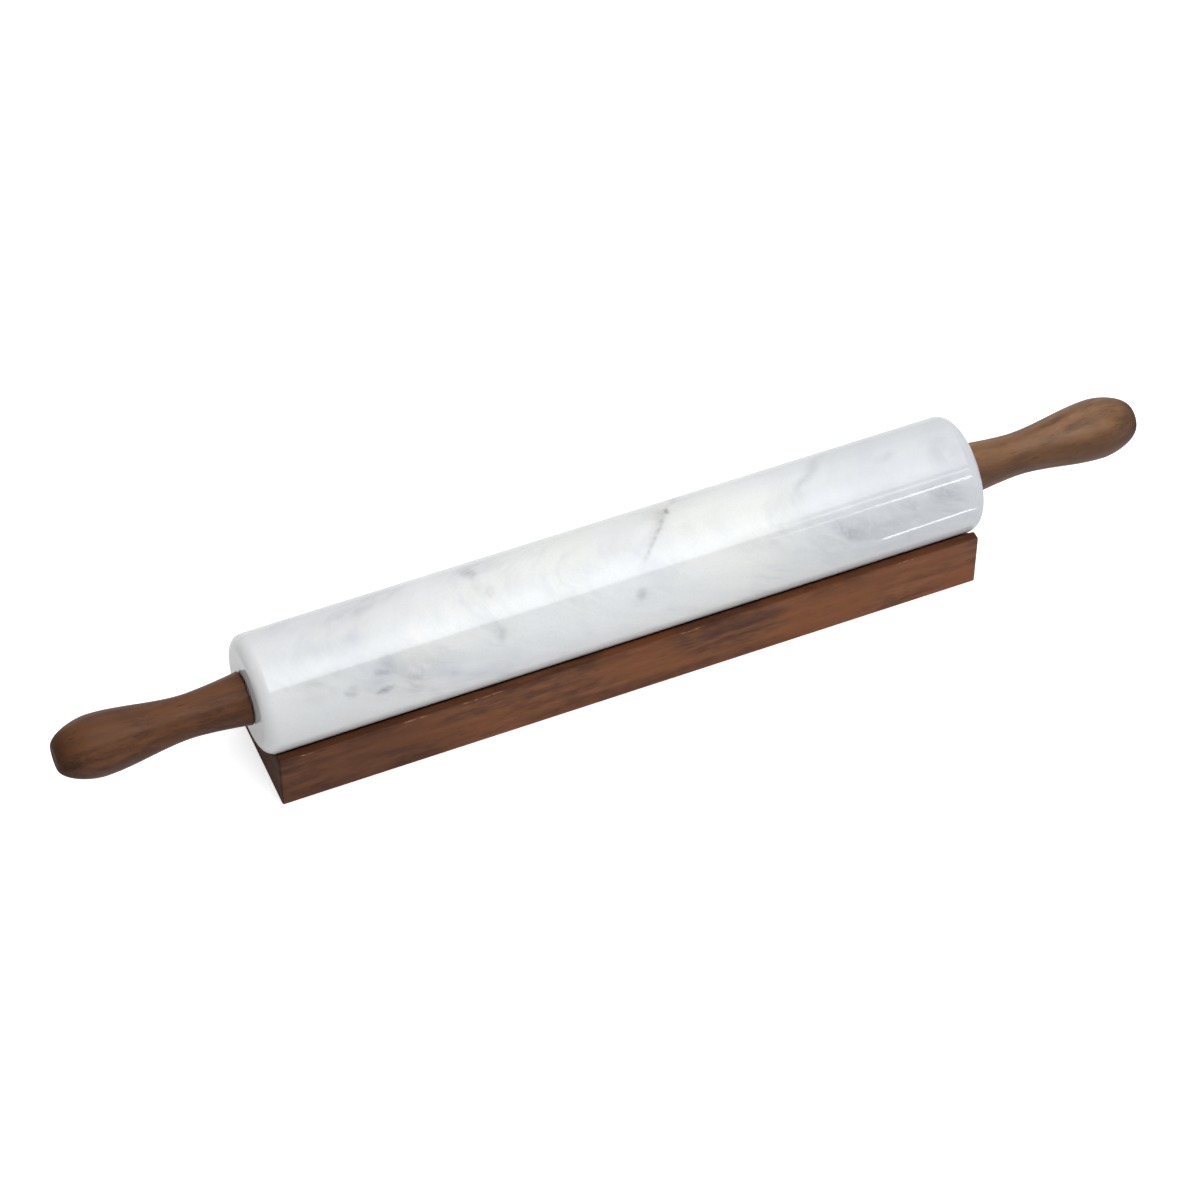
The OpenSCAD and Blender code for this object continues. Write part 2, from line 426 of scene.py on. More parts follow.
@dataclass(frozen=True)
class MarbleFinish:
    """Polished white marble with soft clouds, slanting wisps, a thin vein and a few grey marks, two broad
    ones of which are partly painted shade low on the barrel.

    Attributes:
        radius: Radius of the barrel.
        axis_height: Height of its axis.
        white: Colour of the clean stone.
        warm: Colour of its warmer clouds.
        cloud: Colour of the wisps and of the greyer end.
        blue_grey: Colour of the other end.
        vein: Colour of the vein.
        blot_and_shade: Colour of the grey marks and of the painted shade low on the barrel.
        roughness: Roughness of the smoothest and of the dullest grains.
        layer_tilt: Turn of the stone's layers about each axis, in degrees.
        layer_size: How much longer a wisp is than thick, along each axis of the layers.
        wander: Bends per metre of the clouds, and their furthest move.
        mark_waves: Bends per millimetre of the edges of the marks, and their furthest move, twice over.
        drift_scale: Features per metre by which the shades of the two ends wander.
        drift_range: Length over which they wander.
        blue_end: Where the blue grey starts and is full along the pin, and its strength there.
        grey_end: Where the other end's grey is full and ends along the pin, and its strength there.
        warmth: The warmer clouds.
        broad_wisps: Broad wisps along the layers.
        fine_wisps: Fine wisps along the layers.
        wisp_patches: Places with more and with fewer wisps.
        streaks: Uneven darkness of the grey marks.
        knots: Uneven darkness of the vein, read per millimetre.
        grain_scale: Grains per metre.
        haze: From which to which noise the grains are greyer, and how much.
        mark_fade: Shares of a mark's size at which it starts to fade and has faded out.
    """

    radius: float
    axis_height: float
    white: Colour = srgb(230, 230, 229)
    warm: Colour = srgb(232, 231, 225)
    cloud: Colour = srgb(203, 204, 209)
    blue_grey: Colour = srgb(199, 202, 209)
    vein: Colour = srgb(112, 110, 100)
    blot_and_shade: Colour = srgb(116, 118, 126)
    roughness: Range = (0.08, 0.11)
    layer_tilt: tuple[float, float, float] = (18.9, 22.1, 0.0)
    layer_size: tuple[float, float, float] = (5.0, 5.0, 1.0)
    wander: Range = (24.0, 6.0 * MM)
    mark_waves: tuple[Range, ...] = ((0.22, 1.1), (0.9, 0.35))
    drift_scale: float = 26.0
    drift_range: float = 90.0 * MM
    blue_end: Fade = (30.0 * MM, 115.0 * MM, 0.0, 0.56)
    grey_end: Fade = (-115.0 * MM, -70.0 * MM, 0.36, 0.0)
    warmth: Pattern = Pattern(16.0, 3.0, 0.5, 0.40, 0.62)
    broad_wisps: Pattern = Pattern(62.0, 5.0, 0.62, 0.38, 0.70, 0.0, 0.80)
    fine_wisps: Pattern = Pattern(420.0, 3.0, 0.6, 0.44, 0.72, 0.0, 0.36)
    wisp_patches: Pattern = Pattern(30.0, 3.0, 0.5, 0.38, 0.66, 0.25, 1.0)
    streaks: Pattern = Pattern(300.0, 4.0, 0.6, 0.36, 0.64, 0.5, 1.5)
    knots: Pattern = Pattern(0.35, 5.0, 0.62, 0.32, 0.68, 0.75, 1.15)
    grain_scale: float = 900.0
    haze: Fade = (0.40, 0.75, 0.0, 0.14)
    mark_fade: Range = (0.1, 1.15)

    def material(self) -> bpy.types.Material:
        """Builds the material.

        Returns:
            The material.
        """
        paint = Paint("polished_marble")
        drift = paint.math("SUBTRACT", paint.noise(paint.place, self.drift_scale, 3.0), 0.5)
        drifted = paint.math("ADD", paint.axes(paint.place)[0], paint.times(drift, self.drift_range))
        stone = paint.shaken(paint.place, *self.wander)
        colour = paint.mixed(paint.patterned(stone, self.warmth), self.white, self.warm)
        colour = paint.mixed(paint.between(drifted, *self.blue_end), colour, self.blue_grey)
        colour = paint.mixed(paint.between(drifted, *self.grey_end), colour, self.cloud)
        layers = self.layers(paint, stone)
        colour = paint.mixed(self.wisps(paint, stone, layers), colour, self.cloud)
        unrolled = self.unrolled(paint)
        streaks = paint.patterned(layers, self.streaks)
        colour = paint.mixed(self.marks(paint, unrolled, GREY_MARKS_AND_SHADE, streaks), colour, self.blot_and_shade)
        knots = paint.patterned(unrolled, self.knots)
        colour = paint.mixed(self.marks(paint, unrolled, VEIN, knots), colour, self.vein)
        grain = paint.noise(paint.place, self.grain_scale)
        colour = paint.mixed(paint.between(grain, *self.haze), colour, self.cloud)
        paint.surface(Base_Color=colour, IOR=1.5)
        paint.surface(Roughness=paint.between(grain, *GRAIN_LEVELS, *self.roughness))
        return paint.material

    def layers(self, paint: Paint, stone: Feed) -> bpy.types.NodeSocket:
        """Squeezes the stone's coordinates into thin layers that slant through the whole barrel.

        Args:
            paint: The graph to build in.
            stone: The shaken coordinates.

        Returns:
            The squeezed coordinates.
        """
        tilt = tuple(math.radians(angle) for angle in self.layer_tilt)
        feeds = {"Vector": stone, "Rotation": tilt, "Scale": self.layer_size}
        return paint.node("ShaderNodeMapping", feeds, vector_type="TEXTURE").outputs[0]

    def wisps(self, paint: Paint, stone: Feed, layers: Feed) -> bpy.types.NodeSocket:
        """Lays broad and fine cloudy wisps along the layers.

        Args:
            paint: The graph to build in.
            stone: The shaken coordinates.
            layers: The squeezed coordinates.

        Returns:
            How cloudy the stone is, from 0 to 1.
        """
        broad = paint.patterned(layers, self.broad_wisps)
        fine = paint.patterned(layers, self.fine_wisps)
        return paint.times(paint.math("ADD", broad, fine), paint.patterned(stone, self.wisp_patches))

    def unrolled(self, paint: Paint) -> bpy.types.NodeSocket:
        """Unrolls the barrel.

        Args:
            paint: The graph to build in.

        Returns:
            Millimetres along the pin and round the barrel.
        """
        along, depth, height = paint.axes(paint.place)
        above = paint.math("SUBTRACT", height, self.axis_height)
        turn = paint.math("ARCTAN2", above, paint.times(depth, -1.0))
        behind = paint.math("LESS_THAN", turn, -math.pi / 2)
        turn = paint.math("ADD", turn, paint.times(behind, 2 * math.pi))
        feeds = {0: paint.times(along, 1 / MM), 1: paint.times(turn, self.radius / MM)}
        return paint.node("ShaderNodeCombineXYZ", feeds).outputs[0]

    def marks(self, paint: Paint, unrolled: Feed, marks: tuple[Mark, ...],
              strength: Feed) -> bpy.types.NodeSocket:
        """Lays a set of marks on the unrolled barrel.

        Args:
            paint: The graph to build in.
            unrolled: Millimetres along the pin and round the barrel.
            marks: The marks.
            strength: Factor on their darkness from place to place.

        Returns:
            How dark the marks are, from 0 to 1.
        """
        wavy = unrolled
        for bends, reach in self.mark_waves:
            wavy = paint.shaken(wavy, bends, reach)
        parts = [self.one_mark(paint, wavy, mark) for mark in marks]
        return paint.math("MULTIPLY", paint.total(parts), strength, clamp=True)

    def one_mark(self, paint: Paint, unrolled: Feed, mark: Mark) -> bpy.types.NodeSocket:
        """Fades one mark out from its middle.

        Args:
            paint: The graph to build in.
            unrolled: Millimetres along and round the barrel.
            mark: The mark.

        Returns:
            Its darkness.
        """
        feeds = {
            "Vector": unrolled,
            "Location": (mark.along, math.radians(mark.turn) * self.radius / MM, 0.0),
            "Rotation": (0.0, 0.0, math.radians(mark.tilt)),
            "Scale": (mark.half_length, mark.half_width, 1.0)}
        inside = paint.node("ShaderNodeMapping", feeds, vector_type="TEXTURE").outputs[0]
        distance = paint.node("ShaderNodeVectorMath", {0: inside}, operation="LENGTH").outputs["Value"]
        return paint.between(distance, *self.mark_fade, mark.depth, 0.0)


@dataclass(frozen=True)
class Heartwood:
    """Darker colour on one side of a plane, which fades out across a piece; on the handles it is painted
    shade on their lower sides.

    Attributes:
        towards: Direction in which the wood gets paler.
        dark_at: Distance from the origin in that direction up to which the wood is dark.
        pale_at: Distance from which it is pale.
        shade: Factor on the colour on the darker side.
    """

    towards: tuple[float, float, float]
    dark_at: float
    pale_at: float
    shade: Colour


@dataclass(frozen=True)
class WoodFinish:
    """Oiled brown wood whose grain runs along X through the whole solid.

    Attributes:
        name: The material's name.
        light: Colour of the palest grain.
        dark: Colour of the darkest grain.
        tint: Colour of the reddish or golden patches.
        pith: Place of the middle of the tree in the section, in metres.
        seed: Shift of the pattern, so that no two pieces match.
        heartwood: Where the wood is darker, painted shade on the handles' lower sides.
        banding: Strength of the broad bands.
        shine: Specular level of the oiled surface.
        ring: Distance between two rings.
        gloss: Roughness of the oiled surface.
        ringing: Strength of the rings.
        streaking: Strength of the streaks.
        mottling: Strength of the mottles.
        fibring: Strength of the fibres.
        tones: Sum of these layers at which the wood is darkest and palest.
        wander: Bends per metre of the grain, and their furthest move.
        bend_length: Factor on the number of bends along the grain.
        bands: Broad bands along the grain.
        streaks: Narrow streaks along the grain.
        mottles: Short mottles.
        pores: Dark pores.
        patches: Patches of the tint.
        fibre_scale: Fibres per metre.
        fibre_length: Factor on the number of fibres along the grain.
        pore_shade: Strength of the pores.
        end_shade: Factor on the colour of the end grain.
        end_strength: Strength of that factor.
        end_facing: How far a surface faces along X where the end grain starts and is full.
        relief: Depth of the fibres and pores.
    """

    name: str
    light: Colour
    dark: Colour
    tint: Colour
    pith: Point
    seed: float
    heartwood: Heartwood
    banding: float = 0.26
    shine: float = 0.17
    ring: float = 4.2 * MM
    gloss: float = 0.42
    ringing: float = 0.14
    streaking: float = 0.16
    mottling: float = 0.20
    fibring: float = 0.34
    tones: Range = (0.16, 0.88)
    wander: Range = (40.0, 3.0 * MM)
    bend_length: float = 0.3
    bands: Pattern = Pattern(70.0, 3.0, 0.5, 0.36, 0.64, lengthwise=0.4)
    streaks: Pattern = Pattern(260.0, 4.0, 0.6, 0.34, 0.66, lengthwise=0.4)
    mottles: Pattern = Pattern(330.0, 4.0, 0.6, 0.34, 0.66)
    pores: Pattern = Pattern(1250.0, 2.0, 0.4, 0.62, 0.76, lengthwise=0.09)
    patches: Pattern = Pattern(55.0, 3.0, 0.5, 0.42, 0.64, 0.0, 0.7, lengthwise=0.5)
    fibre_scale: float = 1500.0
    fibre_length: float = 0.09
    pore_shade: float = 0.4
    end_shade: Colour = (0.40, 0.39, 0.42)
    end_strength: float = 0.85
    end_facing: Range = (0.12, 0.72)
    relief: float = 0.05 * MM

    def material(self) -> bpy.types.Material:
        """Builds the material.

        Returns:
            The material.
        """
        paint = Paint(self.name)
        colour = self.grain(paint)
        paint.surface(Base_Color=self.worn_and_shaded(paint, colour), IOR=1.48)
        return paint.material

    def grain(self, paint: Paint) -> bpy.types.NodeSocket:
        """Lays rings, streaks, fibres and pores, and gives the shader its sheen and bump.

        Args:
            paint: The graph to build in.

        Returns:
            The colour of the wood.
        """
        seeded = paint.stretched(paint.place, (1, 1, 1), shift=(self.seed, 0, 0))
        wandering = paint.shaken(paint.stretched(seeded, (self.bend_length, 1, 1)), *self.wander)
        streaks = paint.patterned(wandering, self.streaks)
        fibres = paint.noise(paint.stretched(seeded, (self.fibre_length, 1, 1)), self.fibre_scale, 3.0, 0.6)
        pores = paint.patterned(seeded, self.pores)
        layers = (
            (self.rings(paint, wandering), self.ringing),
            (paint.patterned(wandering, self.bands), self.banding),
            (streaks, self.streaking),
            (paint.patterned(wandering, self.mottles), self.mottling),
            (fibres, self.fibring))
        tone = paint.total([paint.times(layer, share) for layer, share in layers])
        colour = paint.mixed(paint.between(tone, *self.tones), self.dark, self.light)
        colour = paint.mixed(paint.patterned(seeded, self.patches), colour, self.tint)
        colour = paint.mixed(paint.times(pores, self.pore_shade), colour, self.dark, "MULTIPLY")
        colour = self.with_darker_side(paint, colour)
        end_grain = paint.between(paint.math("ABSOLUTE", paint.axes(paint.facing)[0]), *self.end_facing)
        self.oil(paint, fibres, pores, streaks, end_grain)
        return paint.mixed(paint.times(end_grain, self.end_strength), colour, self.end_shade, "MULTIPLY")

    def rings(self, paint: Paint, vector: Feed) -> bpy.types.NodeSocket:
        """Works out the year rings round the pith.

        Args:
            paint: The graph to build in.
            vector: The wandering coordinates.

        Returns:
            A wave from 0 to 1 for each ring.
        """
        across, up = paint.axes(vector)[1:]
        sideways = paint.math("SUBTRACT", across, self.pith[0])
        upward = paint.math("SUBTRACT", up, self.pith[1])
        squares = [paint.times(side, side) for side in (sideways, upward)]
        distance = paint.math("SQRT", paint.total(squares))
        phase = paint.times(distance, 2 * math.pi / self.ring)
        return paint.times(paint.math("ADD", paint.math("SINE", phase), 1.0), 0.5)

    def with_darker_side(self, paint: Paint, colour: Feed) -> bpy.types.NodeSocket:
        """Darkens one side of the piece: painted shade under the handles, a darker left end on the cradle.

        Args:
            paint: The graph to build in.
            colour: The colour of the wood.

        Returns:
            The colour with its heartwood.
        """
        side_darkening = self.heartwood
        shaken = paint.shaken(paint.place, *self.wander)
        place = paint.node("ShaderNodeVectorMath", {0: shaken, 1: side_darkening.towards}, operation="DOT_PRODUCT")
        darkness = paint.between(place.outputs["Value"], side_darkening.dark_at, side_darkening.pale_at, 1.0, 0.0)
        return paint.mixed(darkness, colour, side_darkening.shade, "MULTIPLY")

    def oil(self, paint: Paint, fibres: Feed, pores: Feed, streaks: Feed, end_grain: Feed) -> None:
        """Gives the shader its sheen, drier on the end grain, and its fine relief.

        Args:
            paint: The graph to build in.
            fibres: Strength of the fibres.
            pores: Strength of the pores.
            streaks: Strength of the streaks.
            end_grain: How much of the surface is end grain.
        """
        height = paint.math("SUBTRACT", paint.times(fibres, 0.6), paint.times(pores, 0.9))
        paint.bumped(height, self.relief, strength=0.7)
        dry = paint.math("ADD", paint.times(streaks, -0.08), paint.times(end_grain, 0.3))
        paint.surface(Roughness=paint.math("ADD", dry, self.gloss + 0.08), Specular_IOR_Level=self.shine)

    def worn_and_shaded(self, paint: Paint, colour: Feed) -> bpy.types.NodeSocket:
        """Leaves a turned piece as it is."""
        return colour


@dataclass(frozen=True)
class CradleWoodFinish(WoodFinish):
    """The same wood on a block, with painted shade on its top beside the trough, and its long upper edges
    rubbed pale in places.

    Attributes:
        half_width: Half the width of the block.
        height: Its height.
        rubbed: Colour of the rubbed edges.
        rub_strength: Strength of the rubbing.
        rub_reach: Distance from an edge that is rubbed.
        rub_core: Share of that distance which is rubbed in full.
        rubbed_at: Middle and half length of each rubbed stretch, in millimetres.
        rub_lag: Shift of the stretches along X for each millimetre across, so that the two edges differ.
        rub_breaks: Gaps in the rubbed lines.
        top_shade: Factor on the colour of the top, painted shade where the barrel shades it.
        shade_down_to: Distance from the top at which the blotches end.
        stains_and_shade: Blotches under the upper edges, stains and painted shade.
        top_facing: How far a surface faces up where the top starts and is full.
    """

    half_width: float = 24.9 * MM
    height: float = 25.5 * MM
    rubbed: Colour = srgb(200, 140, 104)
    rub_strength: float = 0.7
    rub_reach: float = 0.5 * MM
    rub_core: float = 0.3
    rubbed_at: tuple[Point, ...] = ((-157.0, 4.0), (-113.0, 6.0), (-85.0, 11.0), (3.0, 5.0), (96.0, 5.0))
    rub_lag: float = 0.8
    rub_breaks: Pattern = Pattern(1700.0, 3.0, 0.5, 0.46, 0.56, lengthwise=0.2)
    top_shade: Colour = (0.66, 0.62, 0.64)
    shade_down_to: float = 8.0 * MM
    stains_and_shade: Pattern = Pattern(170.0, 4.0, 0.6, 0.42, 0.60, lengthwise=0.25)
    top_facing: Range = (0.5, 0.9)

    def worn_and_shaded(self, paint: Paint, colour: Feed) -> bpy.types.NodeSocket:
        """Paints shade on the top and blotchy stains and shade just below it, and rubs the upper edges pale
        in thin broken lines.

        Args:
            paint: The graph to build in.
            colour: The colour of the wood.

        Returns:
            The colour with its wear.
        """
        along, across, up = paint.axes(paint.place)
        from_side = paint.math("SUBTRACT", self.half_width, paint.math("ABSOLUTE", across))
        from_top = paint.math("SUBTRACT", self.height, up)
        # Painted shade: the top, where the barrel shades it, and blotches just below it are darkened.
        upward = paint.between(paint.axes(paint.facing)[2], *self.top_facing)
        below = paint.between(from_top, 0.0, self.shade_down_to, 1.0, 0.0)
        stains_and_shade = paint.times(paint.patterned(paint.place, self.stains_and_shade), below)
        colour = paint.mixed(paint.math("MAXIMUM", upward, stains_and_shade), colour, self.top_shade, "MULTIPLY")
        distance = paint.math("MAXIMUM", from_side, from_top)
        edge = paint.between(distance, self.rub_core * self.rub_reach, self.rub_reach, 1.0, 0.0)
        lagging = paint.math("ADD", along, paint.times(across, self.rub_lag))
        stretches = paint.total([self.stretch(paint, lagging, *place) for place in self.rubbed_at])
        broken = paint.times(paint.patterned(paint.place, self.rub_breaks), stretches)
        rub = paint.times(paint.times(edge, broken), self.rub_strength)
        return paint.mixed(rub, colour, self.rubbed)

    @staticmethod
    def stretch(paint: Paint, along: Feed, middle: float, half: float) -> bpy.types.NodeSocket:
        """Fades one stretch of rubbed edge out from its middle, both given in millimetres."""
        distance = paint.math("ABSOLUTE", paint.math("SUBTRACT", along, middle * MM))
        return paint.between(distance, 0.6 * half * MM, half * MM, 1.0, 0.0)


@dataclass(frozen=True)
class TurnedMetalFinish:
    """Metal with the fine rings that a lathe leaves.

    Attributes:
        name: The material's name.
        colour: Colour of the metal.
        tarnish: Colour of its dull places.
        roughness: Roughness of the bright places.
        dulling: How much rougher the dull places are.
        ring_scale: Rings per metre along X.
        ring_length: Factor on their number across X.
        tarnished: Where the metal is tarnished.
        relief: Depth of the rings.
    """

    name: str
    colour: Colour
    tarnish: Colour
    roughness: float
    dulling: float = 0.16
    ring_scale: float = 5200.0
    ring_length: float = 0.04
    tarnished: Pattern = Pattern(160.0, 4.0, 0.5, 0.45, 0.75, 0.0, 0.7)
    relief: float = 0.01 * MM

    def material(self) -> bpy.types.Material:
        """Builds the material.

        Returns:
            The material.
        """
        paint = Paint(self.name)
        drawn = paint.stretched(paint.place, (1.0, self.ring_length, self.ring_length))
        lines = paint.noise(drawn, self.ring_scale, 3.0, 0.7)
        dull = paint.patterned(paint.place, self.tarnished)
        paint.surface(Base_Color=paint.mixed(dull, self.colour, self.tarnish), Metallic=1.0)
        dullest = self.roughness + self.dulling
        paint.surface(Roughness=paint.between(lines, *GRAIN_LEVELS, self.roughness, dullest))
        paint.bumped(lines, self.relief, strength=0.5)
        return paint.material


@dataclass(frozen=True)
class NylonFinish:
    """Off-white moulded nylon.

    Attributes:
        colour: Its colour.
        shade: Colour of its darker specks.
        speck_scale: Specks per metre.
        specks: From which to which noise the specks are darker.
        roughness: Roughness of the smoothest and of the dullest specks.
        relief: Depth of the specks.
    """

    colour: Colour = srgb(236, 235, 224)
    shade: Colour = srgb(222, 219, 204)
    speck_scale: float = 700.0
    specks: Range = (0.4, 0.7)
    roughness: Range = (0.42, 0.55)
    relief: float = 0.01 * MM

    def material(self) -> bpy.types.Material:
        """Builds the material.

        Returns:
            The material.
        """
        paint = Paint("moulded_nylon")
        specks = paint.noise(paint.place, self.speck_scale, 3.0)
        paint.surface(Base_Color=paint.mixed(paint.between(specks, *self.specks), self.colour, self.shade))
        paint.surface(Roughness=paint.between(specks, *GRAIN_LEVELS, *self.roughness))
        paint.bumped(specks, self.relief, strength=0.4)
        return paint.material


class Lathe(Graph):
    """Geometry Nodes tree that turns an outline round the axis of the pin.

    The outline is a mesh whose points hold the distance along the pin in X and the radius in Y.
    """

    INPUTS = (
        ("Segments", "NodeSocketInt"), ("Axis height", "NodeSocketFloat"),
        ("Weld distance", "NodeSocketFloat"), ("Crease angle", "NodeSocketFloat"),
        ("Finish", "NodeSocketMaterial"))

    def __init__(self) -> None:
        """Builds the tree."""
        super().__init__(bpy.data.node_groups.new("turn_on_lathe", "GeometryNodeTree"))
        sockets = self.tree.interface
        sockets.new_socket("Outline", in_out="INPUT", socket_type="NodeSocketGeometry")
        for name, kind in self.INPUTS:
            sockets.new_socket(name, in_out="INPUT", socket_type=kind)
        sockets.new_socket("Piece", in_out="OUTPUT", socket_type="NodeSocketGeometry")
        given = self.node("NodeGroupInput").outputs
        sheet, place = self.rolled_sheet(given)
        turned = self.node("GeometryNodeSetPosition", {"Geometry": sheet, "Position": place})
        welded = self.node("GeometryNodeMergeByDistance", {
            "Geometry": turned.outputs[0], "Distance": given["Weld distance"]})
        smooth = self.node("GeometryNodeSetShadeSmooth", {
            "Geometry": welded.outputs[0], "Shade Smooth": True})
        angle = self.node("GeometryNodeInputMeshEdgeAngle").outputs["Unsigned Angle"]
        creased = self.node("GeometryNodeSetShadeSmooth", {
            "Geometry": smooth.outputs[0],
            "Selection": self.math("GREATER_THAN", angle, given["Crease angle"]),
            "Shade Smooth": False}, domain="EDGE")
        real = self.node("GeometryNodeRealizeInstances", {"Geometry": creased.outputs[0]})
        dressed = self.node("GeometryNodeSetMaterial", {
            "Geometry": real.outputs[0], "Material": given["Finish"]})
        self.node("NodeGroupOutput", {"Piece": dressed.outputs[0]})

    def rolled_sheet(self, given: bpy.types.NodeOutputs) -> tuple[bpy.types.NodeSocket, ...]:
        """Makes a sheet with one column of points for each outline point, and says where its points go.

        Args:
            given: The inputs of the tree.

        Returns:
            The flat sheet and the place of each of its points round the axis.
        """
        count = self.node("GeometryNodeAttributeDomainSize", {0: given["Outline"]}).outputs["Point Count"]
        sheet = self.node("GeometryNodeMeshGrid", {
            "Vertices X": self.math("ADD", given["Segments"], 1.0), "Vertices Y": count})
        index = self.node("GeometryNodeInputIndex").outputs[0]
        sampled = self.node("GeometryNodeSampleIndex", {
            "Geometry": given["Outline"],
            1: self.node("GeometryNodeInputPosition").outputs[0],
            "Index": self.math("MODULO", index, count)}, data_type="FLOAT_VECTOR")
        along, radius, _ = self.node("ShaderNodeSeparateXYZ", {0: sampled.outputs[0]}).outputs
        step = self.math("DIVIDE", 2 * math.pi, given["Segments"])
        turn = self.times(self.math("FLOOR", self.math("DIVIDE", index, count)), step)
        side = self.times(radius, self.math("COSINE", turn))
        up = self.times(radius, self.math("SINE", turn))
        place = self.node("ShaderNodeCombineXYZ", {
            0: along, 1: side, 2: self.math("ADD", up, given["Axis height"])})
        return sheet.outputs["Mesh"], place.outputs[0]

    def turn(self, name: str, outline: Sequence[Point], axis_height: float, segments: int,
             finish: bpy.types.Material) -> bpy.types.Object:
        """Turns one piece.

        Args:
            name: The piece's name.
            outline: Points of distance along the pin and radius, with the outer side running towards +X.
            axis_height: Height of the axis.
            segments: Number of flats round the piece.
            finish: Its material.

        Returns:
            The piece, as a plain mesh.
        """
        mesh = bpy.data.meshes.new(name)
        links = [(index, index + 1) for index in range(len(outline) - 1)]
        mesh.from_pydata([(along, radius, 0.0) for along, radius in outline], links, [])
        piece = placed(name, mesh)
        modifier = piece.modifiers.new("turned", "NODES")
        modifier.node_group = self.tree
        values = (segments, axis_height, WELD_DISTANCE, math.radians(CREASE_ANGLE), finish)
        for (label, _), value in zip(self.INPUTS, values):
            modifier[self.tree.interface.items_tree[label].identifier] = value
        evaluated = piece.evaluated_get(bpy.context.evaluated_depsgraph_get())
        turned = bpy.data.meshes.new_from_object(evaluated)
        piece.modifiers.remove(modifier)
        piece.data = turned
        turned.name = name
        bpy.data.meshes.remove(mesh)
        even_shading(piece)
        return piece


def even_shading(piece: bpy.types.Object) -> None:
    """Lets the large faces of a piece decide how its edges are shaded.

    Args:
        piece: The piece.
    """
    modifier = piece.modifiers.new("even_shading", "WEIGHTED_NORMAL")
    modifier.mode = "FACE_AREA"
    modifier.keep_sharp = True


def settle(piece: bpy.types.Object, body: str, slot: str, *nodes: str) -> None:
    """Says which body a piece rides on, and hides the nodes that it stands for.

    Args:
        piece: The piece.
        body: The body.
        slot: The slot in the record; not used.
        *nodes: The replaced nodes.
    """
    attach(piece, body)
    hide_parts(*nodes)
    LOG.info("%s: %d faces, rides on %s", piece.name, len(piece.data.polygons), body)


@dataclass
class MarbleBarrel:
    """Polished barrel with rounded ends, a bore and a recess for each bush flange."""

    edge_radius: float = 5.5 * MM
    bore_radius: float = 7.0 * MM
    recess_radius: float = 9.25 * MM
    recess_depth: float = 2.0 * MM
    recess_chamfer: float = 0.3 * MM
    segments: int = 160
    edge_steps: int = 16
    straight_steps: int = 14

    def half_outline(self, end: float, radius: float) -> list[Point]:
        """Lists the outline from the middle of the outside, round the right end, to the middle of the bore.

        Args:
            end: Half the length of the barrel.
            radius: Its radius.

        Returns:
            The points.
        """
        straight = end - self.edge_radius
        points = [(straight * step / self.straight_steps, radius) for step in range(self.straight_steps)]
        for step in range(self.edge_steps + 1):
            angle = math.pi / 2 * step / self.edge_steps
            points.append((
                straight + self.edge_radius * math.sin(angle),
                radius - self.edge_radius + self.edge_radius * math.cos(angle)))
        floor = end - self.recess_depth
        return points + [
            (end, self.recess_radius + self.recess_chamfer), (end - self.recess_chamfer, self.recess_radius),
            (floor, self.recess_radius), (floor, self.bore_radius), (0.0, self.bore_radius)]

    def build(self, lathe: Lathe) -> float:
        """Turns the barrel.

        Args:
            lathe: The tree that turns it.

        Returns:
            The height of the pin's axis.
        """
        low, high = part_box("barrel")
        radius = (high.z - low.z) / 2
        axis_height = (high.z + low.z) / 2
        half = self.half_outline(high.x, radius)
        outline = half + turned_over(half)[1:]
        finish = MarbleFinish(radius, axis_height).material()
        piece = lathe.turn("marble_barrel", outline, axis_height, self.segments, finish)
        settle(piece, "barrel", "marble", "barrel")
        return axis_height


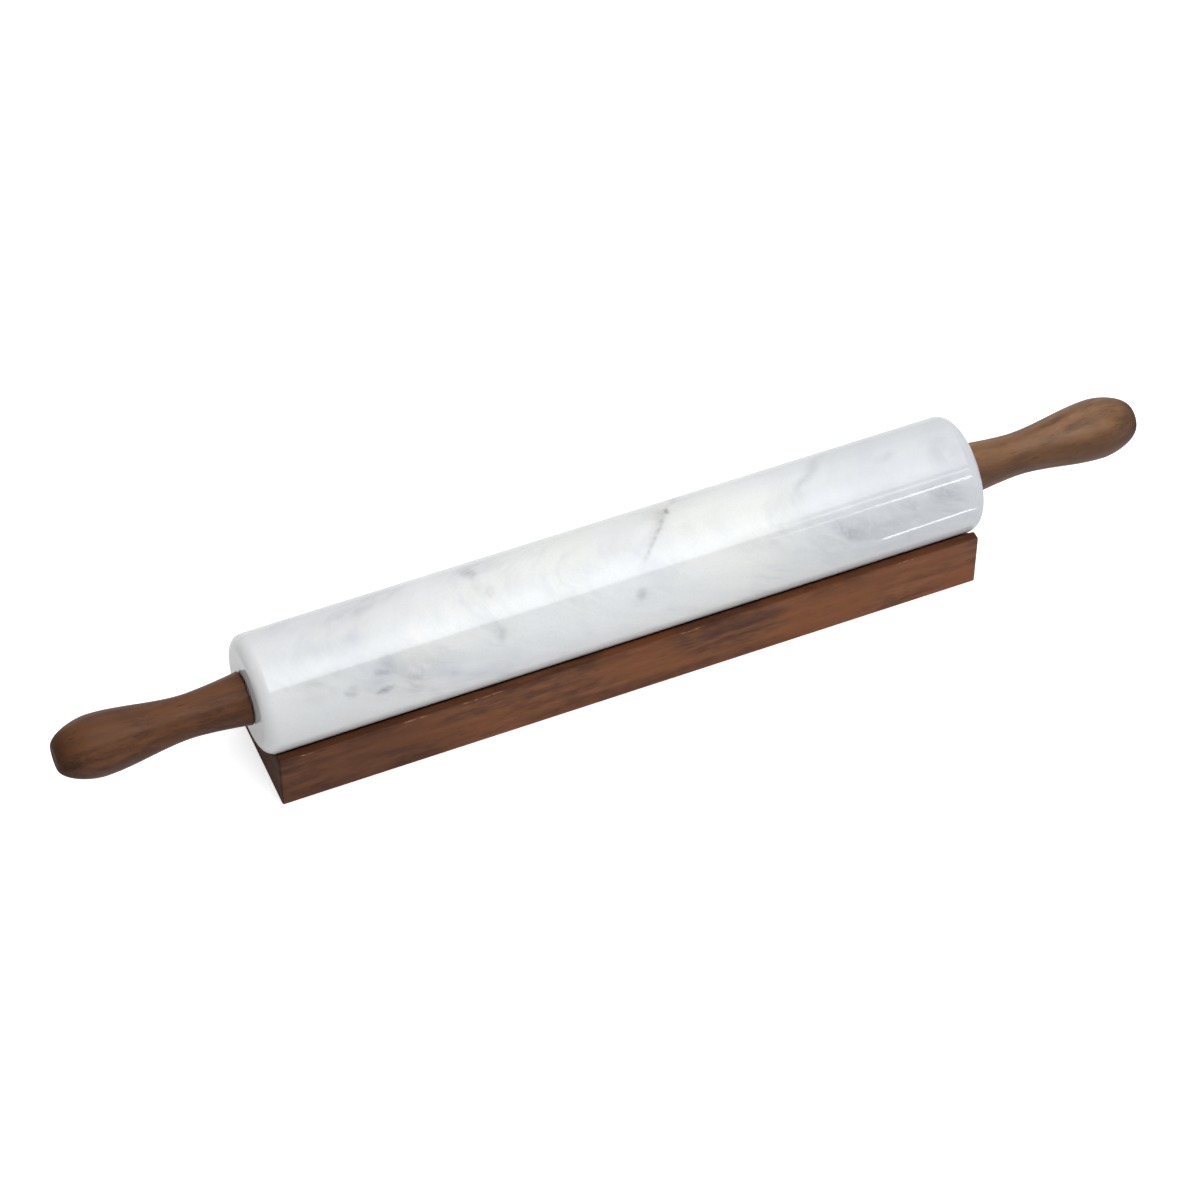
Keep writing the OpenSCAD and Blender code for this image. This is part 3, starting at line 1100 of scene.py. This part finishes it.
@dataclass
class TurnedHandle:
    """Turned wooden handle: flared inner end, slim neck, full grip and a rounded nose with a small flat."""

    side: Side
    wood: WoodFinish
    face_radius: float = 10.8 * MM
    face_edge: float = 0.6 * MM
    neck_radius: float = 8.6 * MM
    neck_at: float = 23.0 * MM
    flare_power: float = 1.5
    grip_radius: float = 12.4 * MM
    nose_length: float = 16.5 * MM
    tip_radius: float = 4.75 * MM
    nose_fullness: float = 1.7
    insert_radius: float = 5.5 * MM
    insert_depth: float = 15.0 * MM
    rod_hole_radius: float = 3.8 * MM
    rod_hole_depth: float = 17.2 * MM
    segments: int = 112
    rim_steps: int = 9
    steps: int = 36

    def outside(self, length: float) -> list[Point]:
        """Lists the outside from the rim of the face to the middle of the tip.

        Args:
            length: Length of the handle.

        Returns:
            Points of distance from the face and radius.
        """
        grip_at = length - self.nose_length
        points = []
        for step in range(self.rim_steps + 1):
            angle = math.pi / 2 * step / self.rim_steps
            points.append((
                self.face_edge * (1 - math.cos(angle)),
                self.face_radius - self.face_edge * (1 - math.sin(angle))))
        shares = [step / self.steps for step in range(1, self.steps + 1)]
        for share in shares:
            if self.neck_at * share > self.face_edge:
                fall = 1 - (1 - share) ** self.flare_power
                points.append((self.neck_at * share, blend(self.face_radius, self.neck_radius, fall)))
        for share in shares:
            rise = share * share * (3 - 2 * share)
            points.append((
                blend(self.neck_at, grip_at, share), blend(self.neck_radius, self.grip_radius, rise)))
        power = 2 / self.nose_fullness
        for share in shares:
            angle = math.pi / 2 * share
            points.append((
                grip_at + self.nose_length * math.sin(angle) ** power,
                blend(self.tip_radius, self.grip_radius, max(math.cos(angle), 0.0) ** power)))
        return points + [(length, 0.0)]

    def build(self, lathe: Lathe, axis_height: float) -> None:
        """Turns the handle.

        Args:
            lathe: The tree that turns it.
            axis_height: Height of the pin's axis.
        """
        node = f"{self.side.label}_handle"
        low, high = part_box(node)
        face, tip = sorted((abs(low.x), abs(high.x)))
        hole = [
            (self.rod_hole_depth, 0.0), (self.rod_hole_depth, self.rod_hole_radius),
            (self.insert_depth, self.rod_hole_radius), (self.insert_depth, self.insert_radius),
            (0.0, self.insert_radius)]
        outline = [(face + distance, radius) for distance, radius in hole + self.outside(tip - face)]
        if self.side is Side.LEFT:
            outline = turned_over(outline)
        piece = lathe.turn(f"turned_{node}", outline, axis_height, self.segments, self.wood.material())
        settle(piece, "handles", "handle_wood", node)


@dataclass
class TroughCradle:
    """Wooden block with a round trough from end to end and all its edges eased."""

    wood: CradleWoodFinish
    trough_radius: float = 25.25 * MM
    trough_floor: float = 14.4 * MM
    edge_radius: float = 0.8 * MM
    trough_edge: float = 0.7 * MM
    least_corner: float = 0.02 * MM
    corner_steps: int = 8
    trough_half_steps: int = 24
    long_steps: int = 30

    @staticmethod
    def arc(centre: Point, radius: float, start: float, end: float, steps: int) -> list[Point]:
        """Lists the points of an arc between two angles in degrees, both ends included."""
        angles = [math.radians(blend(start, end, step / steps)) for step in range(steps + 1)]
        return [(centre[0] + radius * math.cos(a), centre[1] + radius * math.sin(a)) for a in angles]

    def section(self, half_width: float, height: float, inset: float, widened: float) -> list[Point]:
        """Lists the outline across the cradle, anticlockwise from its lower right corner.

        Args:
            half_width: Half the width of the cradle.
            height: Its height.
            inset: How far the outside is drawn in, where an end is rounded.
            widened: How far the trough is opened out there.

        Returns:
            Points across and up, always as many.
        """
        corner = max(self.edge_radius - inset, self.least_corner)
        side, top, bottom = half_width - inset, height - inset, inset
        trough_centre = self.trough_floor + self.trough_radius
        trough = self.trough_radius + widened
        lip = self.trough_edge
        lip_up = top - lip
        lip_side = math.sqrt((trough + lip) ** 2 - (trough_centre - lip_up) ** 2)
        touch = math.degrees(math.atan2(trough_centre - lip_up, lip_side))
        half = self.arc((side - corner, bottom + corner), corner, -90, 0, self.corner_steps)
        half += self.arc((side - corner, top - corner), corner, 0, 90, self.corner_steps)
        half += self.arc((lip_side, lip_up), lip, 90, 180 - touch, self.corner_steps)
        half += self.arc((0.0, trough_centre), trough, -touch, -90, self.trough_half_steps)[1:]
        return half + turned_over(half[:-1])

    def stations(self, half_length: float) -> list[tuple[float, float, float]]:
        """Lists where the sections stand along the cradle.

        Args:
            half_length: Half the length of the cradle.

        Returns:
            Place along, inset of the outside and widening of the trough, for each section.
        """
        def eased(radius: float, depth: float) -> float:
            return 0.0 if depth >= radius else radius - math.sqrt(radius ** 2 - (radius - depth) ** 2)
        right = []
        for step in range(self.corner_steps + 1):
            depth = self.edge_radius * (1 - math.cos(math.pi / 2 * step / self.corner_steps))
            right.append((
                half_length - depth, eased(self.edge_radius, depth), eased(self.trough_edge, depth)))
        straight = half_length - self.edge_radius
        middle = [(blend(-straight, straight, step / self.long_steps), 0.0, 0.0)
                  for step in range(1, self.long_steps)]
        left = [(-along, inset, widened) for along, inset, widened in right]
        return left + middle + right[::-1]

    def build(self) -> None:
        """Builds the cradle from its sections."""
        low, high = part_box("cradle")
        rows = [
            [(along, *point) for point in self.section(high.y, high.z, inset, widened)]
            for along, inset, widened in self.stations(high.x)]
        count = len(rows[0])
        faces = []
        for row in range(len(rows) - 1):
            for step in range(count):
                following = (step + 1) % count
                faces.append((
                    row * count + step, row * count + following,
                    (row + 1) * count + following, (row + 1) * count + step))
        faces.append(tuple(reversed(range(count))))
        faces.append(tuple(range((len(rows) - 1) * count, len(rows) * count)))
        mesh = bpy.data.meshes.new("trough_cradle")
        mesh.from_pydata([point for row in rows for point in row], [], [face[::-1] for face in faces])
        mesh.shade_smooth()
        mesh.set_sharp_from_angle(angle=math.radians(CREASE_ANGLE))
        mesh.materials.append(self.wood.material())
        piece = placed("trough_cradle", mesh)
        even_shading(piece)
        settle(piece, "cradle", "cradle_wood", "cradle")


@dataclass
class RodAndBearings:
    """Steel rod and washers, nylon bushes and brass inserts inside the pin, with the frame's own meshes."""

    steel: TurnedMetalFinish = TurnedMetalFinish(
        "turned_steel", srgb(196, 198, 202), srgb(150, 152, 156), 0.24)
    brass: TurnedMetalFinish = TurnedMetalFinish(
        "turned_brass", srgb(214, 178, 96), srgb(160, 122, 62), 0.26)
    nylon: NylonFinish = NylonFinish()

    def build(self) -> None:
        """Dresses the pieces."""
        steel, brass, nylon = self.steel.material(), self.brass.material(), self.nylon.material()
        self.dress("axle_rod", steel)
        for side in Side:
            self.dress(f"{side.label}_thrust_washer", steel)
            self.dress(f"{side.label}_insert", brass)
            self.dress(f"{side.label}_bush", nylon)

    def dress(self, node: str, material: bpy.types.Material) -> None:
        """Gives a node of the frame its material.

        Args:
            node: The node's name.
            material: The material.
        """
        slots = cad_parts[node].data.materials
        slots.clear()
        slots.append(material)
        LOG.info("%s: dressed with %s", node, material.name)


@dataclass(frozen=True)
class Softbox:
    """Softbox that bends over the pin, made of level strips that follow each other upwards.

    Attributes:
        name: The name of its lamps.
        low: Elevation of its lower edge, from the level front over the top.
        high: Elevation of its upper edge.
        left: Its left end in X.
        right: Its right end in X.
        levels: Brightness of each strip from low to high, where 1 is a white card in plain light.
        distance: Distance from the pin.
        colour: Its colour.
        mirrored_only: Whether it shows in polished surfaces but lights nothing.
    """

    name: str
    low: float
    high: float
    left: float
    right: float
    levels: tuple[float, ...]
    distance: float = 1.6
    colour: Colour = WHITE
    mirrored_only: bool = False

    def build(self, axis_height: float) -> None:
        """Hangs the strips.

        Args:
            axis_height: Height of the pin's axis.
        """
        step = (self.high - self.low) / len(self.levels)
        width = self.right - self.left
        height = 2 * self.distance * math.tan(math.radians(step / 2))
        across = Vector((1.0, 0.0, 0.0))
        middle = Vector(((self.left + self.right) / 2, 0.0, axis_height))
        for number, level in enumerate(self.levels):
            angle = math.radians(self.low + step * (number + 0.5))
            away = Vector((0.0, -math.cos(angle), math.sin(angle)))
            lamp = strip_lamp(self.name, width, height, level, self.colour, self.mirrored_only)
            lamp.matrix_world = aimed(middle + away * self.distance, across, away)


def strip_lamp(name: str, width: float, height: float, level: float, colour: Colour,
               mirrored_only: bool) -> bpy.types.Object:
    """Adds a rectangular lamp that the camera doesn't see.

    Args:
        name: Its name.
        width: Its width.
        height: Its height.
        level: How bright it looks, where 1 is a white card in plain light.
        colour: Its colour.
        mirrored_only: Whether it shows in polished surfaces but lights nothing.

    Returns:
        The lamp.
    """
    lamp = bpy.data.lights.new(name, "AREA")
    lamp.shape = "RECTANGLE"
    lamp.size, lamp.size_y = width, height
    lamp.color = colour
    lamp.energy = level * math.pi * width * height
    strip = placed(name, lamp)
    strip.visible_camera = False
    strip.visible_diffuse = not mirrored_only
    return strip


@dataclass
class Studio:
    """Pale floor, soft lamps, even world light and the camera."""

    azimuth: float = -23.12
    elevation: float = 48.13
    distance: float = 1.6294
    lens: float = 122.4
    aim_right: float = -4.9 * MM
    aim_up: float = 18.71 * MM
    clip: Range = (0.05, 50.0)
    floor_half: float = 4.0
    floor_drop: float = 0.05 * MM
    floor_white: Colour = (0.9, 0.9, 0.9)
    floor_glow: float = 0.6
    floor_glow_mirrored: float = 0.12
    sky: float = 0.41
    sky_tint: Colour = (0.985, 1.0, 1.015)
    lamps: tuple[Softbox, ...] = (
        Softbox("key_softbox", 46.2, 100.2, -0.35, 0.58, (3.5, 3.9, 4.0, 3.8, 3.3, 2.8, 2.4, 2.0, 1.7),
                colour=DAYLIGHT),
        Softbox("side_softbox", 58.2, 100.2, 0.58, 0.80, (2.3, 2.6, 2.9, 2.7, 2.3, 2.0, 1.7),
                colour=DAYLIGHT),
        Softbox("side_rim", 48.2, 51.2, 0.60, 0.79, (3.6,)),
        Softbox("overhead_softbox", 100.2, 148.2, -0.4, 0.9, (1.25, 1.05, 0.7, 0.45),
                colour=(1.03, 1.0, 0.93)),
        Softbox("front_fill", 2.0, 34.0, -0.7, 0.9, (0.13,)),
        Softbox("upper_tube", 33.8, 36.6, 0.675, 0.785, (15.0,), mirrored_only=True),
        Softbox("upper_tube_end", 34.4, 35.8, 0.55, 0.675, (5.0,), mirrored_only=True))
    low_tube_ends: tuple[Point, Point] = ((0.131, -0.0825), (0.178, -0.0920))
    low_tube_height: float = 1.0 * MM
    low_tube_width: float = 2.4 * MM
    low_tube_level: float = 22.0

    def build(self, axis_height: float) -> None:
        """Sets up the floor, the lamps, the world and the camera.

        Args:
            axis_height: Height of the pin's axis.
        """
        self.lay_floor()
        for lamp in self.lamps:
            lamp.build(axis_height)
        self.lay_low_tube(axis_height)
        self.light_world()
        self.place_camera()
        bpy.context.scene.view_settings.view_transform = "Standard"
        LOG.info("studio: %d lamps", len(self.lamps))

    def lay_low_tube(self, axis_height: float) -> None:
        """Lays a thin bright tube on the table, which the polished barrel mirrors as its lower line.

        Args:
            axis_height: Height of the pin's axis.
        """
        start, end = (Vector((*point, self.low_tube_height)) for point in self.low_tube_ends)
        along = (end - start).normalized()
        middle = (start + end) / 2
        back = middle - Vector((middle.x, 0.0, axis_height))
        away = (back - back.dot(along) * along).normalized()
        length = (end - start).length
        lamp = strip_lamp("low_tube", length, self.low_tube_width, self.low_tube_level, WHITE, True)
        lamp.matrix_world = aimed(middle, along, away)

    @staticmethod
    def background_rays(graph: Graph, seen: float, mirrored: float) -> bpy.types.NodeSocket:
        """Gives one value to rays that see the background, and another to reflected and refracted ones.

        Args:
            graph: The graph to build in.
            seen: The value for the camera's own rays.
            mirrored: The value for reflected and refracted rays.

        Returns:
            That value, or 0 for rays that only bring light.
        """
        path = graph.node("ShaderNodeLightPath").outputs
        reflected = graph.math("MAXIMUM", path["Is Glossy Ray"], path["Is Transmission Ray"])
        direct = graph.times(path["Is Camera Ray"], seen)
        return graph.math("MAXIMUM", direct, graph.times(reflected, mirrored))

    def lay_floor(self) -> None:
        """Lays a white floor that keeps the object's shadow."""
        half = self.floor_half
        mesh = bpy.data.meshes.new("pale_floor")
        under = -self.floor_drop
        corners = [(-half, -half, under), (half, -half, under), (half, half, under), (-half, half, under)]
        mesh.from_pydata(corners, [], [(0, 1, 2, 3)])
        material = bpy.data.materials.new("white_floor")
        graph = Graph(emptied(material))
        matt = graph.node("ShaderNodeBsdfDiffuse", {"Color": self.floor_white}).outputs[0]
        strength = self.background_rays(graph, self.floor_glow, self.floor_glow_mirrored)
        glow = graph.node("ShaderNodeEmission", {"Strength": strength}).outputs[0]
        both = graph.node("ShaderNodeAddShader", {0: matt, 1: glow}).outputs[0]
        graph.node("ShaderNodeOutputMaterial", {"Surface": both})
        mesh.materials.append(material)
        floor = placed("pale_floor", mesh)

    def light_world(self) -> None:
        """Gives the room an even light, and shows it white where it is seen."""
        world = bpy.data.worlds.new("studio_world")
        graph = Graph(emptied(world))
        seen = self.background_rays(graph, 1.0 - self.sky, 1.0 - self.sky)
        colour = graph.mixed(self.background_rays(graph, 1.0, 1.0), self.sky_tint, WHITE)
        background = graph.node("ShaderNodeBackground", {
            "Color": colour, "Strength": graph.math("ADD", seen, self.sky)})
        graph.node("ShaderNodeOutputWorld", {"Surface": background.outputs[0]})
        bpy.context.scene.world = world

    def place_camera(self) -> None:
        """Places the camera at the viewing angle of the photograph."""
        turn, lift = math.radians(self.azimuth), math.radians(self.elevation)
        back = Vector((math.sin(turn) * math.cos(lift), -math.cos(turn) * math.cos(lift), math.sin(lift)))
        right = Vector((math.cos(turn), math.sin(turn), 0.0))
        up = back.cross(right)
        camera = bpy.data.cameras.new("studio_camera")
        camera.lens = self.lens
        camera.sensor_fit = "HORIZONTAL"
        camera.clip_start, camera.clip_end = self.clip
        viewer = placed("studio_camera", camera)
        where = back * self.distance + right * self.aim_right + up * self.aim_up
        viewer.matrix_world = aimed(where, right, back)
        bpy.context.scene.camera = viewer


# Each handle's darker side lies below: painted shade on its underside.
HANDLE_WOODS = {
    Side.LEFT: WoodFinish(
        "left_handle_wood", srgb(109, 69, 43), srgb(58, 34, 23), srgb(101, 61, 35), (0.012, 0.060), 0.31,
        Heartwood((0.0, 0.0, 1.0), 0.030, 0.046, (0.78, 0.75, 0.72)), banding=0.16),
    Side.RIGHT: WoodFinish(
        "right_handle_wood", srgb(139, 99, 66), srgb(86, 57, 38), srgb(129, 90, 55), (-0.030, 0.075), 1.7,
        Heartwood((0.0, 0.0, 1.0), 0.0415, 0.0510, (0.55, 0.48, 0.45)), banding=0.16, shine=0.30)}

# The cradle's darker side is its left end.
CRADLE_WOOD = CradleWoodFinish(
    "cradle_wood", srgb(138, 86, 53), srgb(78, 46, 30), srgb(130, 77, 43), (0.050, -0.040), 0.9,
    Heartwood((1.0, 0.0, 0.0), -0.105, -0.050, (0.62, 0.59, 0.57)), banding=0.14)


def main() -> None:
    """Builds the pin, its cradle and the studio, in order."""
    logging.basicConfig(level=logging.INFO, format="%(name)s: %(message)s")
    lathe = Lathe()
    axis_height = MarbleBarrel().build(lathe)
    for side in Side:
        TurnedHandle(side, HANDLE_WOODS[side]).build(lathe, axis_height)
    TroughCradle(CRADLE_WOOD).build()
    RodAndBearings().build()
    Studio().build(axis_height)


if __name__ == "__main__":
    main()
